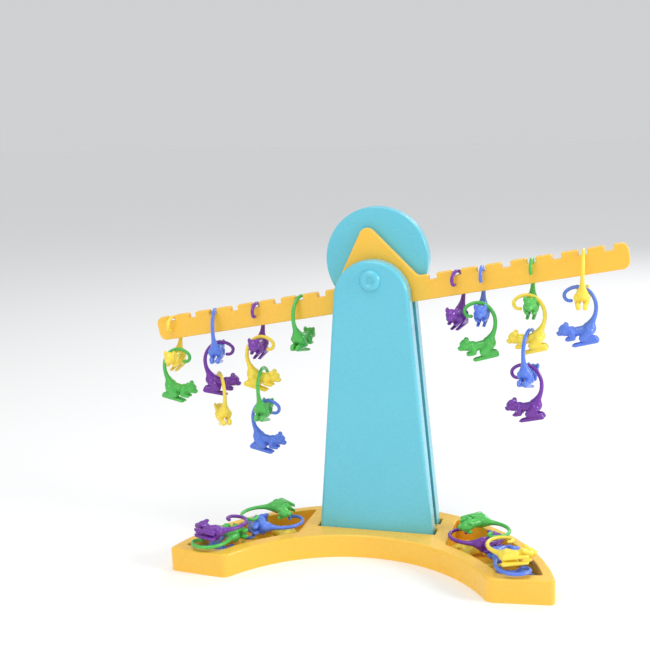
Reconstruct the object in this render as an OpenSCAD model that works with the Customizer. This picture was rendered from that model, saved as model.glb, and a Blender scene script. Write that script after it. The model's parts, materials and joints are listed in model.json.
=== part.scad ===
// Hanging monkeys balance game: a tower with a swinging notched beam, a crescent
// tray with two bins, and little monkeys that hang by their curled tails.
// Millimetres, +Z up. The pivot is on the Z axis and the tray stands on Z = 0.
// The beam is drawn as it rests in use, with the heavier left arm down on its stop.

/* [Balance beam] */
// Distance from one notch to the next
notch_pitch = 14; // [13.5:0.5:16]
// Distance from the pivot to the first notch of each arm
first_notch = 33.5; // [32.5:0.5:36]
// Width of a notch
notch_w = 4.8; // [4.6:0.1:5.4]
// Depth of a notch
notch_depth = 3.2; // [2.8:0.1:3.8]
// Height of the arms
beam_h = 14.3; // [13:0.1:16]
// Thickness of the beam
beam_t = 5; // [4:0.1:5.4]
// Height of the pointer's tip above the pivot
pointer_h = 28.8; // [26:0.2:32]
// Tilt at which the beam meets its stop, either way
tilt = 9.75; // [8:0.25:11]

/* [Tower] */
// Height of the pivot above the table
pivot_z = 163.7; // [158:0.1:172]
// Width of the two uprights where they enter the tray
foot_w = 69.4; // [64:0.2:74]
// Radius of the rounded top of the front upright
head_r = 22; // [20:0.5:24]
// Thickness of each upright
upright_t = 9.4; // [8.4:0.2:11]
// Gap between the uprights, where the beam swings
gap = 7; // [6.4:0.1:8]
// Radius of the dial behind the pointer
dial_r = 30.3; // [28:0.1:34]
// Wall of the hollow mouldings
wall = 2.2; // [1.6:0.1:2.6]
// Rounding of the uprights' outer edges
edge_r = 2; // [1.2:0.1:2.6]

/* [Pivot pin] */
// Diameter of the pin's shaft
pin_d = 6; // [5:0.1:7]
// Diameter of the pin's button head
pin_head_d = 12.2; // [11:0.1:14]

/* [Base tray] */
// Height of the tray's rim
tray_h = 13.8; // [13:0.1:16]
// Radius of the tray's curved back
back_r = 112.8; // [111:0.2:116]
// Radius of the tray's hollow front
front_r = 86; // [84:0.2:88]
// Width of the rim along the front of the bins
front_rim = 8.5; // [7:0.1:9.5]
// Width of the rim along the back of the bins
back_rim = 6; // [4.6:0.1:7]
// Distance from the middle of the tray to each bin
bin_x = 45; // [42:0.5:46]
// Thickness of the bin floors
floor_t = 2; // [1.4:0.1:2]

/* [Monkeys] */
// Thickness of the tail where it hangs
tail_d = 2.2; // [1.8:0.1:2.3]
// Nose-down lean of a monkey that hangs from the beam
beam_lean = 9.5; // [8:0.5:11]
// Nose-down lean of a monkey that hangs from another one's back
chain_lean = 14; // [12:0.5:15]

/* [Hidden] */
$fn = 64;
yellow = [1.0, 0.78, 0.25];
turquoise = [0.44, 0.80, 0.87];
coats = [[0.46, 0.18, 0.56], [0.33, 0.48, 0.92], [0.32, 0.74, 0.30], [0.98, 0.85, 0.22]];
purple = 0;
blue = 1;
green = 2;
gold = 3;
slack = 0.3;

// Beam outline, measured from the pivot with the arms level
notch_count = 8;
bar_top = -2.6;
bar_low = bar_top - beam_h;
notch_floor = bar_top - notch_depth;
end_r = 4.2;
half_len = first_notch + (notch_count - 1) * notch_pitch + beam_h / 2 + 2.9;
flank = 54.3;
tip_r = 4.6;
flank_r = tip_r - 0.1;
tip_z = pointer_h - tip_r;
flank_run = (tip_z + flank_r * cos(flank) - bar_top + 1) / sin(flank);

// Uprights
face_y = gap / 2 + upright_t;
head_z = pivot_z - 10.6;
side_lean = atan(foot_w / 2 / (head_z - tray_h))
  - asin(head_r / norm([foot_w / 2, head_z - tray_h]));
foot_z = 3;
dial_z = pivot_z + 9.8;
boss_r = 6.4;
pin_r = pin_d / 2;
stop_r = 2;
stop_x = 13;
stop_z = pivot_z - (stop_x - bar_low * sin(tilt)) * tan(tilt) + bar_low * cos(tilt)
  - (stop_r + 0.15) / cos(tilt);

// Tray plan: two circles and the cut ends
back_y = 28.9 - back_r;
front_y = -23.2 - front_r;
end_in = [76, -66.5];
end_out = [112, -62.7];
end_turn = atan2(end_out[1] - end_in[1], end_out[0] - end_in[0]);
end_rim = 7.5;
slot_half = foot_w / 2 + (tray_h - foot_z) * tan(side_lean) + 0.4;

// Tail: circular runs of radius, turn and thickness, from the rump to the curled tip
tail_start = [0, -1];
tail_heading = 136;
runs = [
  [15, 38, tail_d * 0.59],
  [12, 45, tail_d * 0.545],
  [9, 85, tail_d * 0.5],
  [3, 150, tail_d * 0.455]
];
function heading(i) = i == 0 ? tail_heading : heading(i - 1) - runs[i - 1][1];
function joint(i) = i == 0 ? tail_start : centre(i - 1) + runs[i - 1][0] * [-sin(heading(i)), cos(heading(i))];
function centre(i) = joint(i) + runs[i][0] * [sin(heading(i)), -cos(heading(i))];

// Points on a hanging monkey: where its tail rests on a beam, where it rests on
// another monkey's back, and the dip in its own back that can carry the next one
function leaned(p, a) = [p[0] * cos(a) + p[1] * sin(a), p[1] * cos(a) - p[0] * sin(a)];
bend_r = runs[2][0] - runs[2][2];
on_beam = leaned(centre(2), beam_lean) + [-1.1, sqrt(bend_r * bend_r - pow(1.1 + beam_t / 2, 2)) - slack];
on_back = leaned(centre(2), chain_lean) + [-2.4, sqrt(bend_r * bend_r - 2.4 * 2.4) - slack];
function lean(m) = is_num(m[2]) ? beam_lean : chain_lean;
function back_dip(m) = leaned([7, -1.51], lean(m));

// The hung monkeys: name, coat, notch (left arm negative) or carrying monkey, and
// the direction its nose points, turned from +X
hung = [
  ["monkey_r2_purple", purple, 2, -104],
  ["monkey_r3_blue", blue, 3, -88],
  ["monkey_r3b_green", green, "monkey_r3_blue", 190],
  ["monkey_r5_green", green, 5, -90],
  ["monkey_r5b_yellow", gold, "monkey_r5_green", 180],
  ["monkey_r5c_blue", blue, "monkey_r5b_yellow", 75],
  ["monkey_r5d_purple", purple, "monkey_r5c_blue", 172],
  ["monkey_r7_yellow", gold, 7, 92],
  ["monkey_r7b_blue", blue, "monkey_r7_yellow", 180],
  ["monkey_l2_green", green, -2, 76],
  ["monkey_l4_purple", purple, -4, -90],
  ["monkey_l4b_yellow", gold, "monkey_l4_purple", 0],
  ["monkey_l4c_green", green, "monkey_l4b_yellow", 90],
  ["monkey_l4d_blue", blue, "monkey_l4c_green", 0],
  ["monkey_l6_blue", blue, -6, 102],
  ["monkey_l6b_purple", purple, "monkey_l6_blue", 20],
  ["monkey_l6c_yellow", gold, "monkey_l6b_purple", 126],
  ["monkey_l8_yellow", gold, -8, -90],
  ["monkey_l8b_green", green, "monkey_l8_yellow", 0]
];
function row_of(name) = [for (m = hung) if (m[0] == name) m][0];
function turned(p, a) = [p[0] * cos(a), p[0] * sin(a), p[1]];
function notch_x(n) = sign(n) * (first_notch + (abs(n) - 1) * notch_pitch);
function on_tilted_beam(x, z) = [x * cos(tilt) - z * sin(tilt), 0, pivot_z + x * sin(tilt) + z * cos(tilt)];
function place(m) = is_num(m[2])
  ? on_tilted_beam(notch_x(m[2]), notch_floor) - turned(on_beam, m[3])
  : let (carrier = row_of(m[2])) place(carrier) + turned(back_dip(carrier), carrier[3]) - turned(on_back, m[3]);

// The loose monkeys, which lie on their sides in the bins: name, coat, side that is up,
// degrees along the bin from the middle of the tray, distance from the bin's middle line,
// height, direction of the tail from the middle line, and how far the tail end is raised
mid_y = (back_y + front_y) / 2;
mid_r = (back_r - back_rim + front_r + front_rim) / 2;
low = floor_t + 4.8;
high = max(tray_h, floor_t + 11.8) + 2;
loose = [
  ["loose_right_1_yellow", gold, 1, 40, 0, low, 6, 0],
  ["loose_right_2_blue", blue, 1, 55.5, -0.5, low + 1.8, 180, 9],
  ["loose_right_3_purple", purple, -1, 38.5, 0, high, 184, 0],
  ["loose_right_4_blue", blue, 1, 60, -1, high + 0.7, 0, 0],
  ["loose_right_5_green", green, -1, 38, 4, high + 5.4, -10, 0],
  ["loose_right_6_yellow", gold, -1, 59, -1, high + 6.5, 170, 0],
  ["loose_left_1_yellow", gold, -1, -40, 0, low, 174, 0],
  ["loose_left_2_blue", blue, -1, -55.5, -0.5, low + 1.8, 0, 9],
  ["loose_left_3_blue", blue, 1, -38.5, 0, high, -2, 0],
  ["loose_left_4_green", green, -1, -60.5, -1, high + 1, 176, 0],
  ["loose_left_5_green", green, 1, -39, 4, high + 5.4, 195, 0],
  ["loose_left_6_purple", purple, 1, -59.5, 0, high + 6.8, 12, 0]
];

// A plan of the tray drawn in by a margin
module tray_plan(margin) {
  difference() {
    translate([0, back_y]) circle(r = back_r - margin, $fn = 256);
    translate([0, front_y]) circle(r = front_r + margin, $fn = 256);
    for (s = [0, 1])
      mirror([s, 0])
        translate(end_in)
          rotate(end_turn)
            translate([-100, margin - 300])
              square([250, 300]);
  }
}

// The opening of one bin, widened by a margin
module bin_plan(margin) {
  difference() {
    translate([0, back_y]) circle(r = back_r - back_rim + margin, $fn = 256);
    translate([0, front_y]) circle(r = front_r + front_rim - margin, $fn = 256);
    translate([bin_x - margin - 200, -150]) square([200, 250]);
    translate(end_in)
      rotate(end_turn)
        translate([-150, end_rim - margin - 100])
          square([300, 100]);
  }
}

module socket_plan(margin) {
  square([2 * (slot_half + margin), 2 * (face_y + margin)], center = true);
}

// Moulded tray: hollow underneath, with two bins and a socket for the uprights' feet
module base_tray() {
  color(yellow)
  difference() {
    linear_extrude(tray_h) tray_plan(0);
    translate([0, 0, -1])
      linear_extrude(tray_h - wall + 1)
        difference() {
          tray_plan(wall);
          bin_plan(wall);
          mirror([1, 0]) bin_plan(wall);
          socket_plan(wall);
        }
    for (s = [0, 1])
      mirror([s, 0, 0])
        translate([0, 0, floor_t])
          linear_extrude(tray_h)
            bin_plan(0);
    for (s = [-1, 1])
      translate([0, s * (gap / 2 + upright_t / 2), foot_z + tray_h / 2])
        cube([2 * slot_half, upright_t + 0.2, tray_h], center = true);
  }
}

// Outline of an upright drawn in by a margin, down to a given height
module upright_plan(margin, low) {
  inner_r = head_r - margin;
  reach = foot_w / 2 + (tray_h - low) * tan(side_lean) - margin / cos(side_lean);
  translate([0, head_z]) circle(r = inner_r, $fn = 96);
  polygon([
    [-reach, low],
    [reach, low],
    [inner_r * cos(side_lean), head_z + inner_r * sin(side_lean)],
    [-inner_r * cos(side_lean), head_z + inner_r * sin(side_lean)]
  ]);
}

// Stands an outline up, from one depth to another
module upright_slab(near, far) {
  translate([0, far, 0]) rotate([90, 0, 0]) linear_extrude(far - near) children();
}

// An upright's outer form with its outer edge rounded in steps
module rounded_upright() {
  hull()
    for (a = [0, 30, 60, 90])
      upright_slab(-face_y + edge_r * (1 - sin(a)), -gap / 2)
        upright_plan(edge_r * (1 - cos(a)), foot_z);
}

module dial_ring(near, far, r) {
  translate([0, far, dial_z]) rotate([90, 0, 0]) cylinder(h = far - near, r = r, $fn = 144);
}

module upright_shell() {
  difference() {
    children();
    upright_slab(-face_y + wall, 0) upright_plan(wall + edge_r / 2, foot_z + wall);
  }
  for (z = [0.24, 0.42, 0.6])
    upright_slab(-face_y + wall / 2, -gap / 2 - 0.6)
      intersection() {
        upright_plan(wall, foot_z);
        translate([-foot_w, pivot_z * z]) square([2 * foot_w, 1.6]);
      }
  translate([0, -gap / 2, pivot_z])
    rotate([90, 0, 0])
      cylinder(h = upright_t - wall / 2, r = boss_r);
}

// Front upright, with the two pegs that stop the beam
module front_upright() {
  color(turquoise) {
    difference() {
      upright_shell() rounded_upright();
      translate([0, 0, pivot_z])
        rotate([90, 0, 0])
          cylinder(h = 3 * face_y, r = pin_r + 0.05, center = true);
    }
    for (s = [-1, 1])
      translate([s * stop_x, gap / 2 - slack, stop_z])
        rotate([90, 0, 0])
          cylinder(h = gap + upright_t - wall, r = stop_r);
  }
}

// Rear upright, which carries the dial behind the pointer
module rear_upright() {
  color(turquoise)
  mirror([0, 1, 0])
  difference() {
    union() {
      upright_shell() rounded_upright();
      difference() {
        hull()
          for (a = [0, 30, 60, 90])
            dial_ring(
              -face_y + edge_r * (1 - sin(a)),
              -gap / 2 - edge_r * (1 - sin(a)) / 2,
              dial_r - edge_r * (1 - cos(a))
            );
        dial_ring(-face_y + wall, -gap / 2 - wall, dial_r - wall - 1);
        upright_slab(-face_y, 0) upright_plan(wall + edge_r / 2, foot_z);
      }
      dial_ring(-gap / 2 - wall, -gap / 2, dial_r - edge_r);
      upright_slab(-face_y, -face_y + wall) upright_plan(edge_r + 1, foot_z + wall);
    }
    translate([0, wall, pivot_z])
      rotate([90, 0, 0])
        cylinder(h = face_y, r = pin_r + 0.05);
  }
}

// Beam outline with its notches and pointer, in X and Z about the pivot
module beam_plan() {
  difference() {
    union() {
      translate([-half_len + end_r, bar_low]) square([2 * (half_len - end_r), beam_h]);
      translate([-half_len, bar_low + end_r]) square([2 * half_len, beam_h - 2 * end_r]);
      for (s = [-1, 1], z = [bar_low + end_r, bar_top - end_r])
        translate([s * (half_len - end_r), z])
          circle(r = end_r);
      translate([0, tip_z]) circle(r = tip_r);
      polygon([
        [-flank_r * sin(flank), tip_z + flank_r * cos(flank)],
        [flank_r * sin(flank), tip_z + flank_r * cos(flank)],
        [flank_r * sin(flank) + flank_run * cos(flank), bar_top - 1],
        [-flank_r * sin(flank) - flank_run * cos(flank), bar_top - 1]
      ]);
    }
    for (s = [-1, 1], n = [1 : notch_count])
      translate([notch_x(s * n), notch_floor])
        polygon([
          [-notch_w / 2, 0],
          [notch_w / 2, 0],
          [notch_w / 2, notch_depth - 0.7],
          [notch_w / 2 + 0.8, notch_depth + 0.1],
          [-notch_w / 2 - 0.8, notch_depth + 0.1],
          [-notch_w / 2, notch_depth - 0.7]
        ]);
  }
}

// Beam with its pointer, hub and two rows of notches
module balance_beam() {
  color(yellow)
  translate([0, 0, pivot_z])
    rotate([90, -tilt, 0])
      difference() {
        union() {
          linear_extrude(beam_t, center = true) beam_plan();
          cylinder(h = gap - 0.4, r = boss_r, center = true);
        }
        cylinder(h = 2 * gap, r = pin_r + 0.08, center = true);
      }
}

// Pivot pin with a dished button head
module pivot_pin() {
  color(turquoise)
  translate([0, -face_y, pivot_z])
    rotate([-90, 0, 0])
      rotate_extrude()
        polygon([
          [0, -1.6],
          [pin_head_d * 0.3, -2.2],
          [pin_head_d * 0.42, -2],
          [pin_head_d / 2, -1],
          [pin_head_d / 2, 0],
          [pin_r, 0],
          [pin_r, gap + 1.6 * upright_t],
          [pin_r - 0.8, gap + 1.6 * upright_t + 0.8],
          [0, gap + 1.6 * upright_t + 0.8]
        ]);
}

// A ball lies with its axis along X, so that its poles stay inside its neighbours
module ball(p, r) {
  translate(p) rotate([0, 90, 0]) sphere(r = r);
}

module rod(p, len, r_near, r_far) {
  translate(p) rotate([0, 90, 0]) cylinder(h = len, r1 = r_near, r2 = r_far);
}

module stub(p, side, len, r_near, r_far) {
  translate(p) rotate([-90 * side, 0, 0]) cylinder(h = len, r1 = r_near, r2 = r_far);
}

module tail() {
  for (i = [0 : 3])
    translate([centre(i)[0], 0, centre(i)[1]])
      rotate([90, 0, 0])
        rotate([0, 0, heading(i + 1) + 90])
          rotate_extrude(angle = runs[i][1])
            translate([runs[i][0], 0])
              circle(r = runs[i][2]);
  ball([joint(4)[0], 0, joint(4)[1]], runs[3][2] * 1.12);
}

// A crouching monkey on its feet: nose to +X, tail root near the origin
module monkey() {
  tail();
  ball([1.6, 0, -4.2], 4);
  ball([11.2, 0, -4.2], 3.5);
  rod([1.6, 0, -4.2], 9.6, 2.8, 2.6);
  ball([15.6, 0, -2.2], 3.6);
  ball([18.1, 0, -3.5], 2.1);
  for (s = [-1, 1]) {
    stub([14.4, s * 2.3, 0.6], s, 2, 1.9, 1.3);
    stub([11.2, s * 1.4, -5.8], s, 2.8, 2.3, 1.5);
    ball([13.9, s * 1.9, -7.6], 1.5);
    ball([2.6, s * 1.6, -6.8], 3);
    ball([6.6, s * 2.1, -8.6], 1.8);
    ball([-0.2, s * 1.8, -9.6], 1.8);
    ball([-0.9, s * 1.7, -11.4], 1.5);
    rod([-0.9, s * 1.7, -11.4], 13, 1.3, 0.9);
    ball([12.1, s * 1.7, -11.4], 1);
  }
}

module hung_monkey(m) {
  color(coats[m[1]])
  translate(place(m))
    rotate([0, 0, m[3]])
      rotate([0, lean(m), 0])
        monkey();
}

module loose_monkey(m) {
  color(coats[m[1]])
  translate([0, mid_y, m[5]])
    rotate([0, 0, -m[3]])
      translate([0, mid_r + m[4], 0])
        rotate([0, -m[7], m[6]])
          rotate([90 * m[2], 0, 90 * m[2]])
            translate([-7.5, 0, -3])
              monkey();
}

base_tray();
front_upright();
rear_upright();
balance_beam();
pivot_pin();
for (m = hung)
  hung_monkey(m);
for (m = loose)
  loose_monkey(m);
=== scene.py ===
import json
import math

import bmesh
import bpy
from mathutils import Matrix, Vector

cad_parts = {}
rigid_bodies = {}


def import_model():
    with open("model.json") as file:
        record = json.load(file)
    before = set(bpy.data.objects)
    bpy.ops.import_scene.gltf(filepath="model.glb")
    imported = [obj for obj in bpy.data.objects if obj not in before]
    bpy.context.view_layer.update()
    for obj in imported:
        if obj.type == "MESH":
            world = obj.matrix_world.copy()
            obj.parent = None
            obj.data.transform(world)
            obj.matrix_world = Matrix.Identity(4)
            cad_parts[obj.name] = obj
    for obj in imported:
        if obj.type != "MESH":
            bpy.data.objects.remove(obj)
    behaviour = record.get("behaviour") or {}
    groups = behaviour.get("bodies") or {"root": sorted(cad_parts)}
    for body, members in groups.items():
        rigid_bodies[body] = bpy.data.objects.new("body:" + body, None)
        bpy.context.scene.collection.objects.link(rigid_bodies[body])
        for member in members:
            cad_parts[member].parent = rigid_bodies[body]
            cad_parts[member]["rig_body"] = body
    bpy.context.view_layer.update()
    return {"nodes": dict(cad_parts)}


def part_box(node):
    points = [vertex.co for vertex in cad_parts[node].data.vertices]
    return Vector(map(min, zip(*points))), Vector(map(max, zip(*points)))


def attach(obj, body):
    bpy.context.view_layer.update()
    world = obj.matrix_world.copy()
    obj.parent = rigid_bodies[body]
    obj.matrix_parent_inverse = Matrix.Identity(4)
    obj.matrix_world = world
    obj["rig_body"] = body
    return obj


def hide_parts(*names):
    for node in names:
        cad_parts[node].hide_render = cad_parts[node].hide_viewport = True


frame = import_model()
nodes = frame["nodes"]
print("stage: frame loaded with", len(nodes), "nodes")

perMetre = 1000  # sizes of pieces are written in millimetres and built in metres


def linear(rgb):  # screen colour to the linear one that shaders take
    parts = [c / 255 for c in rgb]
    return tuple(c / 12.92 if c <= 0.04045 else ((c + 0.055) / 1.055) ** 2.4 for c in parts) + (1.0,)


# what all the plastics share, with depths and the parting line's width in metres
moulding = {
    "flow": {"Detail": 3.0, "Roughness": 0.55, "Distortion": 0.6},
    "smudge": {"Detail": 5.0, "Roughness": 0.62}, "smudgeSpan": (0.3, 0.7),
    "scuff": {"Scale": 1.0, "Detail": 2.0, "Roughness": 0.5}, "scuffSpan": (0.62, 0.78),
    "scuffStretch": {"Scale": (90.0, 1900.0, 300.0), "Rotation": (0.4, 0.9, 0.3)},
    "grain": {"Detail": 2.0, "Roughness": 0.5},
    "grainDepth": 0.0002, "sinkDepth": 0.001, "seamDepth": 0.00015, "seamSpan": (0.00006, 0.0002),
    "shader": {
        "IOR": 1.48, "Coat Roughness": 0.12,
        "Subsurface Radius": (0.004, 0.003, 0.002), "Subsurface Scale": 0.5,
    },
}


def addNode(tree, kind, inputs, links=()):
    node = tree.nodes.new(kind)
    for key, value in inputs.items():
        if key in node.inputs:
            node.inputs[key].default_value = value
        else:
            setattr(node, key, value)
    for socket, source in links:
        tree.links.new(source, node.inputs[socket])
    return node


def noise(tree, place, inputs):
    return addNode(tree, "ShaderNodeTexNoise", inputs, [("Vector", place)]).outputs["Fac"]


def spread(tree, value, span, result):
    limits = {"From Min": span[0], "From Max": span[1], "To Min": result[0], "To Max": result[1]}
    return addNode(tree, "ShaderNodeMapRange", limits, [("Value", value)]).outputs["Result"]


def bump(tree, height, strength, depth, under=None):
    links = [("Height", height)]
    if under is not None:
        links.append(("Normal", under))
    inputs = {"Strength": strength, "Distance": depth}
    return addNode(tree, "ShaderNodeBump", inputs, links).outputs["Normal"]


def mouldedPlastic(name, look):
    material = bpy.data.materials.new(name)
    material.use_nodes = True
    tree = material.node_tree
    shader = tree.nodes["Principled BSDF"]
    place = tree.nodes.new("ShaderNodeTexCoord").outputs["Object"]

    # the colour drifts slightly, as plastic does when it flows into a mould
    flow = noise(tree, place, dict(moulding["flow"], Scale=look["flowScale"]))
    tint = addNode(tree, "ShaderNodeMix", {"data_type": "RGBA"}, [(0, flow)])
    tint.inputs[6].default_value = linear(look["deep"])  # sockets 6, 7 and 2 are the ones for colour
    tint.inputs[7].default_value = linear(look["colour"])
    tree.links.new(tint.outputs[2], shader.inputs["Base Color"])

    # smudges and fine scuffs change the gloss
    smudge = noise(tree, place, dict(moulding["smudge"], Scale=look["smudgeScale"]))
    stretch = addNode(tree, "ShaderNodeMapping", moulding["scuffStretch"], [("Vector", place)])
    scuff = noise(tree, stretch.outputs["Vector"], moulding["scuff"])
    rough = spread(tree, smudge, moulding["smudgeSpan"], look["rough"])
    scuffMask = spread(tree, scuff, moulding["scuffSpan"], (0.0, look["scuff"]))
    adding = {"operation": "ADD", "use_clamp": True}
    worn = addNode(tree, "ShaderNodeMath", adding, [(0, rough), (1, scuffMask)])
    tree.links.new(worn.outputs["Value"], shader.inputs["Roughness"])

    # grain, shallow sinks and the parting line of a figure, one bump over the other
    grain = noise(tree, place, dict(moulding["grain"], Scale=look["grainScale"]))
    across = addNode(tree, "ShaderNodeAttribute", {"attribute_name": "midline"})
    beside = addNode(tree, "ShaderNodeMath", {"operation": "ABSOLUTE"}, [(0, across.outputs["Fac"])])
    ridge = spread(tree, beside.outputs["Value"], moulding["seamSpan"], (1.0, 0.0))
    surface = bump(tree, grain, look["grain"], moulding["grainDepth"])
    surface = bump(tree, flow, look["sink"], moulding["sinkDepth"], surface)
    surface = bump(tree, ridge, look["seam"], moulding["seamDepth"], surface)
    tree.links.new(surface, shader.inputs["Normal"])

    own = {"Coat Weight": look["coat"], "Subsurface Weight": look["glow"]}
    for socket, value in {**moulding["shader"], **own}.items():
        shader.inputs[socket].default_value = value
    return material


bodyPlastic = {
    "flowScale": 26.0, "smudgeScale": 160.0, "grainScale": 2400.0, "rough": (0.20, 0.32),
    "scuff": 0.08, "grain": 0.12, "sink": 0.06, "coat": 0.35, "glow": 0.0, "seam": 0.0,
}
coatPlastic = {
    "flowScale": 120.0, "smudgeScale": 420.0, "grainScale": 3600.0, "rough": (0.20, 0.34),
    "scuff": 0.10, "grain": 0.14, "sink": 0.10, "coat": 0.30, "glow": 0.06, "seam": 0.5,
}
# material, finish, main colour and the deeper one that it drifts to
finishes = {
    "yellow_plastic": ("yellowMoulding", bodyPlastic, (255, 203, 70), (253, 194, 58)),
    "turquoise_plastic": ("turquoiseMoulding", bodyPlastic, (107, 204, 224), (98, 197, 219)),
    "purple_coat": ("purpleMoulding", coatPlastic, (124, 53, 171), (111, 44, 157)),
    "blue_coat": ("blueMoulding", coatPlastic, (98, 138, 238), (84, 120, 226)),
    "green_coat": ("greenMoulding", coatPlastic, (88, 198, 88), (70, 184, 74)),
    "yellow_coat": ("paleYellowMoulding", coatPlastic, (255, 230, 82), (252, 218, 62)),
}
plastics = {
    slotName: mouldedPlastic(name, dict(finish, colour=colour, deep=deep))
    for slotName, (name, finish, colour, deep) in finishes.items()
}
print("stage: plastics made")

cutting = {
    "past": 5.0,  # how far a cutter reaches past what it cuts
    "weld": 0.005,  # points this close after a cut become one
    "spunWeld": 0.002,  # and after a spin
    "level": 0.002,  # points this close in height lie in one plane
    "standing": 1.0,  # an edge that rises more than this is upright
    "corner": 0.5,  # radians between the faces at a corner
    "lip": 0.8,  # radians between the faces at the lip of an opening
    "smoothTo": 40.0,  # degrees, and flatter edges than this are shaded smooth
    "spunSmoothTo": 50.0,  # the same on a spun piece
}


def addObject(name, data):
    holder = bpy.data.objects.new(name, data)
    bpy.context.scene.collection.objects.link(holder)
    return holder


def meshPiece(name, mesh, node, slotName):
    mesh.materials.append(plastics[slotName])
    piece = addObject(name, mesh)
    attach(piece, nodes[node]["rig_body"])
    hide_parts(node)
    return piece


def toMesh(work, name):
    bmesh.ops.recalc_face_normals(work, faces=work.faces)
    mesh = bpy.data.meshes.new(name)
    work.to_mesh(mesh)
    work.free()
    return mesh


def carved(mesh, cutters):
    blank = addObject("blank", mesh)
    tools = [addObject("cutter", shape) for shape in cutters]
    for tool in tools:
        cut = blank.modifiers.new("cut", "BOOLEAN")
        cut.operation = "DIFFERENCE"
        cut.solver = "EXACT"
        cut.object = tool
    seen = blank.evaluated_get(bpy.context.evaluated_depsgraph_get())
    work = bmesh.new()
    work.from_mesh(seen.to_mesh())
    bmesh.ops.remove_doubles(work, verts=work.verts, dist=cutting["weld"] / perMetre)
    for spare in [blank, *tools]:
        bpy.data.objects.remove(spare)
    for shape in [mesh, *cutters]:
        bpy.data.meshes.remove(shape)
    return work


def smoothFaces(work, degrees):
    for face in work.faces:
        face.smooth = True
    for edge in work.edges:
        edge.smooth = edge.calc_face_angle(0) < math.radians(degrees)


def mouldedPiece(name, work, node, slotName):
    smoothFaces(work, cutting["smoothTo"])
    piece = meshPiece(name, toMesh(work, name), node, slotName)
    flats = piece.modifiers.new("flats", "WEIGHTED_NORMAL")  # wide faces stay flat beside round edges
    flats.mode = "FACE_AREA_WITH_ANGLE"
    flats.keep_sharp = True


def about(axis, degrees):
    return Matrix.Rotation(math.radians(degrees), 4, axis)


def arc(x, z, radius, start, end, steps):
    angles = [math.radians(start + (end - start) * i / steps) for i in range(steps + 1)]
    return [(x + radius * math.cos(a), z + radius * math.sin(a)) for a in angles]


def mirrored(outline):
    return [(-x, y) for x, y in reversed(outline)]


def oblong(half, near, far):
    return [(-half, near), (half, near), (half, far), (-half, far)]


def extruded(work, corners, move):
    first = work.faces.new([work.verts.new(corner) for corner in corners])
    made = bmesh.ops.extrude_face_region(work, geom=[first], use_keep_orig=True)["geom"]
    moved = [g for g in made if isinstance(g, bmesh.types.BMVert)]
    last = next(g for g in made if isinstance(g, bmesh.types.BMFace))
    bmesh.ops.translate(work, verts=moved, vec=move)
    return first, last, moved


def roundEdges(work, edges, radius, steps=4):
    bmesh.ops.bevel(
        work, geom=edges, affect="EDGES", offset_type="OFFSET", offset=radius / perMetre, segments=steps,
        profile=0.5, clamp_overlap=False, material=-1,
    )


def prism(work, outline, low, high, cornerR=0.0):
    corners = [(x / perMetre, y / perMetre, low / perMetre) for x, y in outline]
    moved = extruded(work, corners, (0, 0, (high - low) / perMetre))[2]
    if cornerR:
        edges = [e for v in moved for e in v.link_edges]
        rise = cutting["standing"] / perMetre
        standing = [e for e in edges if abs(e.verts[0].co.z - e.verts[1].co.z) > rise]
        roundEdges(work, [e for e in standing if e.calc_face_angle(0) > cutting["corner"]], cornerR)


def edgesAt(work, height):
    near = cutting["level"] / perMetre
    return [e for e in work.edges if all(abs(v.co.z - height / perMetre) < near for v in e.verts)]


def lipsAt(work, height):
    return [e for e in edgesAt(work, height) if e.calc_face_angle(0) > cutting["lip"]]


def spunMesh(name, profile, steps, turn):
    work = bmesh.new()
    points = [work.verts.new((r / perMetre, 0, d / perMetre)) for r, d in profile]
    edges = [work.edges.new(pair) for pair in zip(points, points[1:])]
    bmesh.ops.spin(
        work, geom=points + edges, cent=(0, 0, 0), axis=(0, 0, 1), dvec=(0, 0, 0),
        angle=math.tau, steps=steps, use_merge=True,
    )
    bmesh.ops.remove_doubles(work, verts=work.verts, dist=cutting["spunWeld"] / perMetre)
    bmesh.ops.transform(work, matrix=turn, verts=work.verts)
    bmesh.ops.recalc_face_normals(work, faces=work.faces)
    smoothFaces(work, cutting["spunSmoothTo"])
    return toMesh(work, name)


# a crescent between two arcs, cut off straight at both ends
tray = {
    "high": 13.8, "wall": 2.2, "floor": 2.0, "under": 2.0,
    "backY": -83.93, "backR": 112.79, "backSteps": 36, "frontY": -109.2, "frontR": 86.0, "frontSteps": 22,
    "endIn": (76.0, -66.5), "endOut": (112.0, -62.7), "cornerR": 3.2, "edgeR": 1.3, "lipR": 0.7,
    "binX": 45.0, "frontRim": 8.5, "backRim": 6.0, "endRim": 7.5, "binCornerR": 1.6, "binSteps": 16,
    "slotHalf": 36.08, "slotNear": 3.4, "slotFar": 13.0, "slotFloor": 3.0, "faceY": 12.9,
}


def meets(middleY, radius, margin):  # angle at which an arc reaches the end, moved in by a margin
    start = Vector(tray["endIn"])
    along = (Vector(tray["endOut"]) - start).normalized()
    out = start + margin * Vector((-along.y, along.x)) - Vector((0, middleY))
    half = out.dot(along)
    spot = out + along * (math.sqrt(half * half - out.length_squared + radius * radius) - half)
    return math.degrees(math.atan2(spot.y, spot.x))


def trayOutline(margin):
    inner, outer = tray["frontR"] + margin, tray["backR"] - margin
    frontEnd, backEnd = meets(tray["frontY"], inner, margin), meets(tray["backY"], outer, margin)
    right = arc(0, tray["frontY"], inner, 90, frontEnd, tray["frontSteps"])
    right += arc(0, tray["backY"], outer, backEnd, 90, tray["backSteps"])
    return right + mirrored(right[1:-1])


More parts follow.
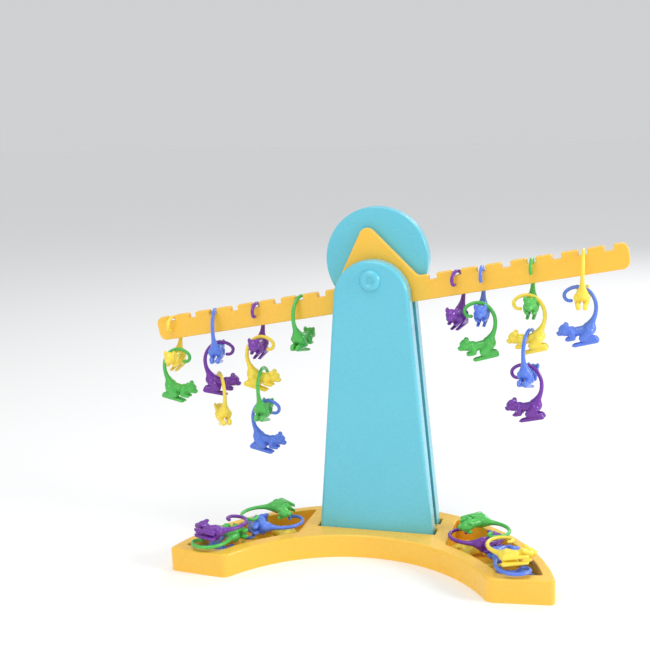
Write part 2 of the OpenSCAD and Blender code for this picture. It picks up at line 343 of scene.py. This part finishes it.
def binOutline(margin):
    inner = tray["frontR"] + tray["frontRim"] - margin
    outer = tray["backR"] - tray["backRim"] + margin
    start, end = tray["binX"] - margin, tray["endRim"] - margin
    front = [math.degrees(math.acos(start / inner)), meets(tray["frontY"], inner, end)]
    back = [meets(tray["backY"], outer, end), math.degrees(math.acos(start / outer))]
    edge = arc(0, tray["frontY"], inner, *front, tray["binSteps"])
    return edge + arc(0, tray["backY"], outer, *back, tray["binSteps"])


def makeTray():
    wall, high, past = tray["wall"], tray["high"], cutting["past"]
    half, near, far = tray["slotHalf"], tray["slotNear"], tray["slotFar"]
    work = bmesh.new()
    prism(work, trayOutline(0), 0, high, tray["cornerR"])
    bmesh.ops.recalc_face_normals(work, faces=work.faces)
    roundEdges(work, edgesAt(work, high), tray["edgeR"])
    body = toMesh(work, "trayBody")

    # two bins, and two slots for the feet of the uprights
    work = bmesh.new()
    for outline in (binOutline(0), mirrored(binOutline(0))):
        prism(work, outline, tray["floor"], high + past, tray["binCornerR"])
    for outline in (oblong(half, -far, -near), oblong(half, near, far)):
        prism(work, outline, tray["slotFloor"], high + past)
    openings = toMesh(work, "trayOpenings")

    # the underside is hollow apart from the walls round the bins and slots
    work = bmesh.new()
    for outline in (binOutline(wall), mirrored(binOutline(wall))):
        prism(work, outline, -past, high + past)
    socketY = tray["faceY"] + wall
    prism(work, oblong(half + wall, -socketY, socketY), -past, high + past)
    blocks = toMesh(work, "trayBlocks")
    work = bmesh.new()
    prism(work, trayOutline(wall), -tray["under"], high - wall)
    hollow = toMesh(carved(toMesh(work, "trayInside"), [blocks]), "trayHollow")

    work = carved(body, [hollow, openings])
    roundEdges(work, lipsAt(work, high), tray["lipR"])
    mouldedPiece("trayMoulding", work, "base_tray", "yellow_plastic")


makeTray()
print("stage: tray made")

# both uprights are drawn lying down, with the side that faces the beam below
upright = {
    "near": 3.5, "far": 12.9, "wall": 2.2, "inset": 3.2, "edgeR": 2.0, "edgeSteps": 6, "lipR": 0.35,
    "headR": 22.0, "headZ": 153.1, "headSteps": 60, "lean": 5.172,
    "footHalf": 34.7, "footTop": 13.8, "footZ": 3.0,
    "dialR": 30.3, "dialZ": 173.5, "dialSteps": 120, "dialEdgeR": 1.0, "dialLow": 153.5, "openTop": 143.0,
    "pivotZ": 163.7, "bossR": 6.4, "holeR": 3.05, "ringSteps": 64,
    "ribs": (39.29, 68.75, 98.22), "ribHigh": 1.6, "ribNear": 4.1,
    "pegX": 13.0, "pegZ": 142.137, "pegR": 2.0, "pegFrom": -3.2, "pegTo": 11.0, "pegEdgeR": 0.4,
}


def sideAt(height, margin):  # half the width of the leaning sides
    lean = math.radians(upright["lean"])
    return upright["footHalf"] + (upright["footTop"] - height) * math.tan(lean) - margin / math.cos(lean)


def footPoints(margin, low):
    reach = sideAt(low, margin)
    return [(-reach, low), (reach, low)]


def panelOutline(margin, low):
    lean, radius = upright["lean"], upright["headR"] - margin
    head = arc(0, upright["headZ"], radius, lean, 180 - lean, upright["headSteps"])
    return footPoints(margin, low) + head


def dialOutline():
    slope = math.tan(math.radians(upright["lean"]))
    middle, radius, foot = upright["dialZ"], upright["dialR"], sideAt(0, 0)
    mid = foot * slope + middle
    square = 1 + slope * slope
    apart = foot * foot + middle * middle - radius * radius
    z = (mid - math.sqrt(mid * mid - square * apart)) / square  # where a side runs into the dial
    start = math.degrees(math.atan2(z - middle, sideAt(z, 0)))
    dial = arc(0, middle, radius, start, 180 - start, upright["dialSteps"])
    return footPoints(0, upright["footZ"]) + dial


def rearOpening():
    low, high = upright["footZ"] + upright["wall"], upright["openTop"]
    reach = sideAt(high, upright["inset"])
    return footPoints(upright["inset"], low) + [(reach, high), (-reach, high)]


def ring(x, z, radius):
    return arc(x, z, radius, 0, 360, upright["ringSteps"])[:-1]


def makeUpright(name, node, outline, opening, turn, pegs):
    near, far, past = upright["near"], upright["far"], cutting["past"]
    work = bmesh.new()
    prism(work, outline, near, far)
    bmesh.ops.recalc_face_normals(work, faces=work.faces)
    roundEdges(work, edgesAt(work, far), upright["edgeR"], upright["edgeSteps"])
    if not pegs:  # the rear one has the dial, with a round rim on the side that shows
        low = upright["dialLow"] / perMetre
        rim = [e for e in edgesAt(work, near) if all(v.co.y > low for v in e.verts)]
        roundEdges(work, rim, upright["dialEdgeR"])
    body = toMesh(work, "uprightBody")

    # the ribs stay in the hollow, and in the front upright the boss of the pin
    work = bmesh.new()
    for z in upright["ribs"]:
        prism(work, oblong(sideAt(z, 0), z, z + upright["ribHigh"]), upright["ribNear"], far + past)
    if pegs:
        prism(work, ring(0, upright["pivotZ"], upright["bossR"]), near, far + past)
    blocks = toMesh(work, "uprightBlocks")
    work = bmesh.new()
    prism(work, opening, near - past, far - upright["wall"])
    hollow = toMesh(carved(toMesh(work, "uprightInside"), [blocks]), "uprightHollow")

    work = bmesh.new()
    prism(work, ring(0, upright["pivotZ"], upright["holeR"]), near - past, far + past)
    work = carved(body, [hollow, toMesh(work, "uprightHole")])
    roundEdges(work, lipsAt(work, near) + lipsAt(work, far), upright["lipR"])
    for x in pegs:
        prism(work, ring(x, upright["pegZ"], upright["pegR"]), upright["pegFrom"], upright["pegTo"])
    roundEdges(work, edgesAt(work, upright["pegFrom"]), upright["pegEdgeR"])
    bmesh.ops.transform(work, matrix=turn, verts=work.verts)
    mouldedPiece(name, work, node, "turquoise_plastic")


def makeUprights():
    stand = about("X", 90)
    inside = panelOutline(upright["inset"], upright["footZ"] + upright["wall"])
    pegs = (-upright["pegX"], upright["pegX"])
    makeUpright("frontPanel", "front_upright", panelOutline(0, upright["footZ"]), inside, stand, pegs)
    turn = about("Z", 180) @ stand
    makeUpright("rearPanel", "rear_upright", dialOutline(), rearOpening(), turn, ())


makeUprights()
print("stage: uprights made")

# level and with the pivot at zero, until it is tilted onto its left stop
beam = {
    "tilt": 9.75, "halfThick": 2.5, "top": -2.6, "low": -16.9, "halfLength": 141.52, "endR": 4.2,
    "first": 33.5, "pitch": 14.0, "count": 8, "notchHalf": 2.4, "notchDepth": 3.2, "lip": 0.7,
    "tip": 24.2, "tipR": 4.55, "flank": 54.3, "filletR": 4.0, "arcSteps": 8, "edge": 0.75, "edgeSteps": 5,
    "hub": [(3.08, -3.3), (6.0, -3.3), (6.4, -2.9), (6.4, 2.9), (6.0, 3.3), (3.08, 3.3)], "hubSteps": 64,
    "bore": [(0, -9), (3.08, -9), (3.08, 9), (0, 9)],
}


def halfOutline():
    top, low, r, steps = beam["top"], beam["low"], beam["endR"], beam["arcSteps"]
    half, lip, floor = beam["notchHalf"], beam["lip"], beam["top"] - beam["notchDepth"]
    x = beam["halfLength"] - r
    points = arc(x, low + r, r, 270, 360, steps) + arc(x, top - r, r, 0, 90, steps)
    for n in reversed(range(beam["count"])):
        middle = beam["first"] + n * beam["pitch"]
        points += [(middle + half + lip, top), (middle + half, top - lip), (middle + half, floor)]
        points += [(middle - half, floor), (middle - half, top - lip), (middle - half - lip, top)]
    flank, fillet, tipR = beam["flank"], beam["filletR"], beam["tipR"]
    slope = math.radians(flank)
    reach = beam["tip"] + tipR * math.cos(slope) - top
    foot = tipR * math.sin(slope) + reach / math.tan(slope)
    points += arc(foot + fillet * math.tan(slope / 2), top + fillet, fillet, 270, 270 - flank, steps)
    return points + arc(0, beam["tip"], tipR, 90 - flank, 90, steps)


def roundFace(work, face, edge, steps):
    angles = [math.pi / 2 * i / steps for i in range(steps + 1)]
    for a, b in zip(angles, angles[1:]):
        bmesh.ops.inset_region(
            work, faces=[face], use_even_offset=True, use_boundary=True,
            thickness=edge * (math.cos(a) - math.cos(b)), depth=edge * (math.sin(b) - math.sin(a)),
        )


def makeBeam():
    right = halfOutline()
    edge, body = beam["edge"] / perMetre, (beam["halfThick"] - beam["edge"]) / perMetre
    corners = [(x / perMetre, -body, z / perMetre) for x, z in right + mirrored(right[:-1])]
    work = bmesh.new()
    front, back, _ = extruded(work, corners, (0, 2 * body, 0))
    bmesh.ops.recalc_face_normals(work, faces=work.faces)
    roundFace(work, front, edge, beam["edgeSteps"])
    roundFace(work, back, edge, beam["edgeSteps"])
    plate = toMesh(work, "beamPlate")

    lay = about("X", -90)
    hub = spunMesh("beamHub", beam["hub"] + beam["hub"][:1], beam["hubSteps"], lay)
    bore = spunMesh("beamBore", beam["bore"], beam["hubSteps"], lay)
    work = carved(plate, [bore])
    work.from_mesh(hub)
    bpy.data.meshes.remove(hub)
    turn = Matrix.Translation((0, 0, upright["pivotZ"] / perMetre)) @ about("Y", -beam["tilt"])
    bmesh.ops.transform(work, matrix=turn, verts=work.verts)
    mouldedPiece("beamMoulding", work, "balance_beam", "yellow_plastic")


makeBeam()
print("stage: beam made")

# radius and depth behind the face of the front upright, from the button's dimple to the far end
pin = {
    "steps": 72,
    "profile": [
        (0.0, -0.95), (1.0, -1.0), (1.9, -1.2), (2.5, -1.65), (2.95, -2.05), (3.45, -2.2), (4.1, -2.15),
        (4.8, -1.9), (5.4, -1.5), (5.85, -0.95), (6.1, -0.35), (6.1, 0.0),
        (3.0, 0.0), (3.0, 22.04), (2.2, 22.84), (0.0, 22.84),
    ],
}


def makePin():
    face = (0, -upright["far"] / perMetre, upright["pivotZ"] / perMetre)
    mesh = spunMesh("pinButton", pin["profile"], pin["steps"], Matrix.Translation(face) @ about("X", -90))
    meshPiece("pinButton", mesh, "pivot_pin", "turquoise_plastic")


makePin()
print("stage: pin made")

# one figure, nose along X and upright, from balls and limbs that are fused into one skin
monkey = {
    "voxel": 0.3, "relax": 6, "relaxBy": 0.5, "ballCuts": 4, "limbSides": 40, "tailSides": 28,
    "tailStart": (0.0, -1.0), "tailHeading": 136.0, "rootDepth": 3.2, "tailStep": 0.7, "tipBall": 1.08,
    "tailRuns": [(15.0, 38.0), (12.0, 45.0), (9.0, 85.0), (3.0, 150.0)],  # radius and degrees
    "tailThick": [  # length from the root and radius there
        (0.0, 2.5), (3.0, 2.15), (5.0, 1.65), (7.0, 1.35), (10.0, 1.18), (17.0, 1.12), (33.0, 1.06),
        (48.0, 0.98),
    ],
    "balls": [  # rump, chest, head, brow, muzzle and nose
        ((1.9, 0, -4.1), (3.9, 3.4, 3.9)),
        ((11.2, 0, -4.2), (3.5, 3.3, 3.45)),
        ((15.2, 0, -2.1), (3.3, 3.2, 3.5)),
        ((17.1, 0, -0.75), (1.4, 2.3, 1.0)),
        ((17.9, 0, -3.4), (2.1, 1.9, 1.6)),
        ((19.5, 0, -2.75), (0.65, 0.9, 0.5)),
    ],
    "pairedBalls": [  # ear, eye, hand, heel and two toes
        ((14.1, 2.75, 0.15), (1.55, 1.0, 1.75)),
        ((18.0, 1.3, -1.45), (0.55, 0.6, 0.55)),
        ((14.6, 1.9, -7.5), (1.5, 1.15, 1.0)),
        ((-0.7, 1.8, -11.3), (1.5, 1.35, 1.45)),
        ((12.4, 1.15, -11.6), (0.9, 0.5, 0.55)),
        ((12.2, 2.25, -11.6), (0.9, 0.5, 0.55)),
    ],
    "limbs": [  # back, neck and the root of the tail
        ((2.0, 0, -4.3), (11.0, 0, -4.3), 2.75, 2.6),
        ((11.5, 0, -3.8), (14.8, 0, -2.6), 2.9, 2.8),
        ((0.6, 0, -2.2), (3.2, 0, -4.2), 2.6, 3.0),
    ],
    "pairedLimbs": [  # upper arm, forearm, thigh, shin and foot
        ((11.2, 2.3, -4.9), (11.3, 2.7, -7.2), 1.9, 1.35),
        ((11.3, 2.7, -7.3), (14.1, 2.0, -7.6), 1.3, 1.1),
        ((2.2, 1.9, -5.6), (6.8, 2.4, -8.3), 2.7, 1.75),
        ((6.7, 2.35, -8.6), (-0.2, 2.0, -10.2), 1.6, 1.45),
        ((-0.6, 1.8, -11.4), (11.6, 1.75, -11.7), 1.35, 0.95),
    ],
}


def addBall(work, centre, radii):
    made = bmesh.ops.create_icosphere(work, subdivisions=monkey["ballCuts"], radius=1.0)["verts"]
    size = Matrix.Diagonal([r / perMetre for r in radii] + [1])
    bmesh.ops.transform(work, matrix=Matrix.Translation(Vector(centre) / perMetre) @ size, verts=made)


def addLimb(work, start, end, rStart, rEnd):
    start, end = Vector(start), Vector(end)
    run = end - start
    made = bmesh.ops.create_cone(
        work, cap_ends=True, segments=monkey["limbSides"],
        radius1=rStart / perMetre, radius2=rEnd / perMetre, depth=run.length / perMetre,
    )["verts"]
    turn = Vector((0, 0, 1)).rotation_difference(run).to_matrix().to_4x4()
    middle = Matrix.Translation((start + end) / (2 * perMetre))
    bmesh.ops.transform(work, matrix=middle @ turn, verts=made)
    addBall(work, start, (rStart,) * 3)
    addBall(work, end, (rEnd,) * 3)


def runCentre(spot, radius, heading):
    a = math.radians(heading)
    return spot[0] + radius * math.sin(a), spot[1] - radius * math.cos(a)


def runPoint(centre, radius, heading):
    a = math.radians(heading)
    return centre[0] - radius * math.sin(a), centre[1] + radius * math.cos(a)


def tailPath():  # points along the runs, each with its heading
    spot, heading, depth = monkey["tailStart"], monkey["tailHeading"], monkey["rootDepth"]
    a = math.radians(heading)
    path = [((spot[0] - depth * math.cos(a), spot[1] - depth * math.sin(a)), heading)]
    for radius, turn in monkey["tailRuns"]:
        centre = runCentre(spot, radius, heading)
        count = max(2, round(radius * math.radians(turn) / monkey["tailStep"]))
        for i in range(count):
            part = heading - turn * i / count
            path.append((runPoint(centre, radius, part), part))
        heading -= turn
        spot = runPoint(centre, radius, heading)
    return path + [(spot, heading)]


def thickAt(length):
    table = monkey["tailThick"]
    for (s0, r0), (s1, r1) in zip(table, table[1:]):
        if length <= s1:
            return r0 + (r1 - r0) * (length - s0) / (s1 - s0)
    return table[-1][1]


def tailFrames(path):
    length, last, frames = 0.0, path[0][0], []
    for (x, z), heading in path:
        length += math.dist((x, z), last)
        last = (x, z)
        a = math.radians(heading)
        along, side = Vector((math.cos(a), 0, math.sin(a))), Vector((0, 1, 0))
        turn = Matrix((side.cross(along), side, along)).transposed().to_4x4()
        thick = thickAt(length) / perMetre
        spot = Matrix.Translation((x / perMetre, 0, z / perMetre))
        frames.append(spot @ turn @ Matrix.Diagonal((thick, thick, 1, 1)))
    return frames


def addTail(work):
    path = tailPath()
    frames = tailFrames(path)
    loop = bmesh.ops.create_circle(work, cap_ends=False, radius=1.0, segments=monkey["tailSides"])["verts"]
    bmesh.ops.transform(work, matrix=frames[0], verts=loop)
    edges = list({e for v in loop for e in v.link_edges})
    ends = list(edges)
    for before, after in zip(frames, frames[1:]):
        made = bmesh.ops.extrude_edge_only(work, edges=edges)["geom"]
        loop = [g for g in made if isinstance(g, bmesh.types.BMVert)]
        drawn = [g for g in made if isinstance(g, bmesh.types.BMEdge)]
        edges = [e for e in drawn if all(v in loop for v in e.verts)]
        bmesh.ops.transform(work, matrix=after @ before.inverted(), verts=loop)
    bmesh.ops.holes_fill(work, edges=ends + edges, sides=0)
    x, z = path[-1][0]
    addBall(work, (x, 0, z), (monkey["tipBall"],) * 3)


def makeMonkeyMesh():
    work = bmesh.new()
    addTail(work)
    for centre, radii in monkey["balls"]:
        addBall(work, centre, radii)
    for start, end, rStart, rEnd in monkey["limbs"]:
        addLimb(work, start, end, rStart, rEnd)
    for side in (-1, 1):
        flip = Vector((1, side, 1))
        for centre, radii in monkey["pairedBalls"]:
            addBall(work, Vector(centre) * flip, radii)
        for start, end, rStart, rEnd in monkey["pairedLimbs"]:
            addLimb(work, Vector(start) * flip, Vector(end) * flip, rStart, rEnd)
    parts = toMesh(work, "monkeyParts")
    draft = addObject("monkeyDraft", parts)
    fuse = draft.modifiers.new("fuse", "REMESH")
    fuse.mode = "VOXEL"
    fuse.voxel_size = monkey["voxel"] / perMetre
    fuse.use_smooth_shade = True
    relax = draft.modifiers.new("relax", "SMOOTH")
    relax.factor = monkey["relaxBy"]
    relax.iterations = monkey["relax"]
    seen = draft.evaluated_get(bpy.context.evaluated_depsgraph_get())
    mesh = bpy.data.meshes.new_from_object(seen)
    midline = mesh.attributes.new("midline", "FLOAT", "POINT")  # distance from the parting line
    midline.data.foreach_set("value", [v.co.y for v in mesh.vertices])
    bpy.data.objects.remove(draft)
    bpy.data.meshes.remove(parts)
    return mesh


# node, its notch, minus on the left, or the monkey that carries it, and where its nose points
hanging = {
    "beamLean": 9.5, "chainLean": 14.0, "slack": 0.3,
    "bendRuns": 3, "bend": 7.9, "tailHalf": 1.1,  # runs up to the hook, its inside radius, the tail's radius
    "dip": (7.0, -1.51), "backHalf": 2.4,  # low spot of a carrier's back, and half its width
    "rows": [
        ("monkey_r2_purple", 2, -104),
        ("monkey_r3_blue", 3, -88), ("monkey_r3b_green", "monkey_r3_blue", 190),
        ("monkey_r5_green", 5, -90), ("monkey_r5b_yellow", "monkey_r5_green", 180),
        ("monkey_r5c_blue", "monkey_r5b_yellow", 75), ("monkey_r5d_purple", "monkey_r5c_blue", 172),
        ("monkey_r7_yellow", 7, 92), ("monkey_r7b_blue", "monkey_r7_yellow", 180),
        ("monkey_l2_green", -2, 76),
        ("monkey_l4_purple", -4, -90), ("monkey_l4b_yellow", "monkey_l4_purple", 0),
        ("monkey_l4c_green", "monkey_l4b_yellow", 90), ("monkey_l4d_blue", "monkey_l4c_green", 0),
        ("monkey_l6_blue", -6, 102), ("monkey_l6b_purple", "monkey_l6_blue", 20),
        ("monkey_l6c_yellow", "monkey_l6b_purple", 126),
        ("monkey_l8_yellow", -8, -90), ("monkey_l8b_green", "monkey_l8_yellow", 0),
    ],
}


def bendCentre():
    spot, heading = monkey["tailStart"], monkey["tailHeading"]
    for radius, turn in monkey["tailRuns"][:hanging["bendRuns"]]:
        centre = runCentre(spot, radius, heading)
        heading -= turn
        spot = runPoint(centre, radius, heading)
    return centre


def leaned(p, degrees):
    c, s = math.cos(math.radians(degrees)), math.sin(math.radians(degrees))
    return p[0] * c + p[1] * s, p[1] * c - p[0] * s


def turned(p, degrees):
    a = math.radians(degrees)
    return Vector((p[0] * math.cos(a), p[0] * math.sin(a), p[1]))


def notchSpot(number):
    x = math.copysign(beam["first"] + (abs(number) - 1) * beam["pitch"], number)
    z = beam["top"] - beam["notchDepth"]
    across, rise = leaned((x, z), -beam["tilt"])
    return Vector((across, 0, upright["pivotZ"] + rise))


def hungPlaces():
    spots, matrices = {}, {}
    for name, on, heading in hanging["rows"]:
        if isinstance(on, str):
            lean, offset = hanging["chainLean"], hanging["backHalf"]
            half = offset
            carrierSpot, carrierHeading, carrierLean = spots[on]
            support = carrierSpot + turned(leaned(hanging["dip"], carrierLean), carrierHeading)
        else:
            lean, offset = hanging["beamLean"], hanging["tailHalf"]
            half = offset + beam["halfThick"]
            support = notchSpot(on)
        cx, cz = leaned(bendCentre(), lean)
        drop = math.sqrt(hanging["bend"] ** 2 - half ** 2) - hanging["slack"]
        spot = support - turned((cx - offset, cz + drop), heading)
        spots[name] = (spot, heading, lean)
        matrices[name] = Matrix.Translation(spot / perMetre) @ about("Z", heading) @ about("Y", lean)
    return matrices


# node, the side it lies on, degrees along the bin, out from its middle, height, heading and rise
heap = {
    "midY": -96.55, "midR": 100.65, "middle": (7.5, 0, 3.0),
    "rows": [
        ("loose_right_1_yellow", 1, 40, 0, 6.8, 6, 0),
        ("loose_right_2_blue", 1, 55.5, -0.5, 8.6, 180, 9),
        ("loose_right_3_purple", -1, 38.5, 0, 15.8, 184, 0),
        ("loose_right_4_blue", 1, 60, -1, 16.5, 0, 0),
        ("loose_right_5_green", -1, 38, 4, 21.2, -10, 0),
        ("loose_right_6_yellow", -1, 59, -1, 22.3, 170, 0),
        ("loose_left_1_yellow", -1, -40, 0, 6.8, 174, 0),
        ("loose_left_2_blue", -1, -55.5, -0.5, 8.6, 0, 9),
        ("loose_left_3_blue", 1, -38.5, 0, 15.8, -2, 0),
        ("loose_left_4_green", -1, -60.5, -1, 16.8, 176, 0),
        ("loose_left_5_green", 1, -39, 4, 21.2, 195, 0),
        ("loose_left_6_purple", 1, -59.5, 0, 22.6, 12, 0),
    ],
}


def loosePlaces():
    matrices = {}
    centred = Matrix.Translation([-c / perMetre for c in heap["middle"]])
    for name, side, along, out, height, heading, rise in heap["rows"]:
        matrices[name] = (
            Matrix.Translation((0, heap["midY"] / perMetre, height / perMetre)) @ about("Z", -along)
            @ Matrix.Translation((0, (heap["midR"] + out) / perMetre, 0)) @ about("Z", heading)
            @ about("Y", -rise) @ about("Z", 90 * side) @ about("X", 90 * side) @ centred
        )
    return matrices


def placeMonkeys():
    master = makeMonkeyMesh()
    print("stage: one monkey made,", len(master.polygons), "faces")
    worst = 0.0
    for name, matrix in {**hungPlaces(), **loosePlaces()}.items():
        mesh = master.copy()
        mesh.name = name + "_skin"
        mesh.transform(matrix)
        slotName = name.rsplit("_", 1)[1] + "_coat"  # a node's name ends with its colour
        meshPiece(name + "_figure", mesh, name, slotName)
        low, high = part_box(name)
        middle = (Vector(low) + Vector(high)) / 2
        corners = [v.co for v in mesh.vertices]
        mine = Vector([(min(c[i] for c in corners) + max(c[i] for c in corners)) / 2 for i in range(3)])
        worst = max(worst, (mine - middle).length)
    bpy.data.meshes.remove(master)
    print("stage: monkeys placed, middles within", round(worst * perMetre, 2), "mm of the solids")


placeMonkeys()

# in metres and watts
studio = {
    "floor": (254, 254, 254), "floorSize": 60.0, "floorRough": 0.8,
    "sky": (0.955, 0.963, 0.975), "skyPower": 0.66,
    "lamps": [  # name, place, width and power
        ("topLamp", (-0.10, -0.40, 1.05), 0.8, 3.7),
        ("sideLamp", (1.0, -0.10, 0.50), 0.4, 4.8),
        ("frontLamp", (-0.45, -1.15, 0.50), 0.9, 1.0),
        ("backLamp", (0.34, 1.15, 0.82), 0.5, 3.4),
    ],
    "aim": (0, 0, 0.1),
}


def makeFloor():
    work = bmesh.new()
    bmesh.ops.create_grid(work, x_segments=1, y_segments=1, size=studio["floorSize"] / 2)
    mesh = bpy.data.meshes.new("floor")
    work.to_mesh(mesh)
    work.free()
    floor = addObject("floor", mesh)
    paper = bpy.data.materials.new("floorPaper")
    paper.use_nodes = True
    shader = paper.node_tree.nodes["Principled BSDF"]
    shader.inputs["Base Color"].default_value = linear(studio["floor"])
    shader.inputs["Roughness"].default_value = studio["floorRough"]
    mesh.materials.append(paper)


def makeLight():
    world = bpy.data.worlds.new("studioSky")
    world.use_nodes = True
    sky = world.node_tree.nodes["Background"]
    sky.inputs["Color"].default_value = studio["sky"] + (1.0,)
    sky.inputs["Strength"].default_value = studio["skyPower"]
    bpy.context.scene.world = world
    for name, spot, size, power in studio["lamps"]:
        lamp = bpy.data.lights.new(name, "AREA")
        lamp.shape = "DISK"
        lamp.size = size
        lamp.energy = power
        holder = addObject(name, lamp)
        holder.location = spot
        aim = Vector(studio["aim"]) - Vector(spot)
        holder.rotation_euler = aim.to_track_quat("-Z", "Y").to_euler()
    bpy.context.scene.view_settings.view_transform = "Standard"


makeFloor()
makeLight()

# place and target in metres, roll in degrees
shot = {
    "spot": (0.14115, -0.54514, 0.24142), "target": (0, 0, 0.1), "roll": -1.25,
    "sensor": 36.0, "lens": 54.45, "shift": (-0.0811, 0.0925), "nearest": 0.01,
}


def makeCamera():
    camera = bpy.data.cameras.new("camera")
    camera.sensor_width = shot["sensor"]
    camera.lens = shot["lens"]
    camera.shift_x, camera.shift_y = shot["shift"]
    camera.clip_start = shot["nearest"]
    holder = addObject("camera", camera)
    ahead = (Vector(shot["target"]) - Vector(shot["spot"])).normalized()
    right = ahead.cross(Vector((0, 0, 1))).normalized()
    up = right.cross(ahead)
    c, s = math.cos(math.radians(shot["roll"])), math.sin(math.radians(shot["roll"]))
    axes = (right * c + up * s, up * c - right * s, -ahead)
    holder.matrix_world = Matrix.Translation(shot["spot"]) @ Matrix(axes).transposed().to_4x4()
    bpy.context.scene.camera = holder


makeCamera()
print("stage: studio and camera set")
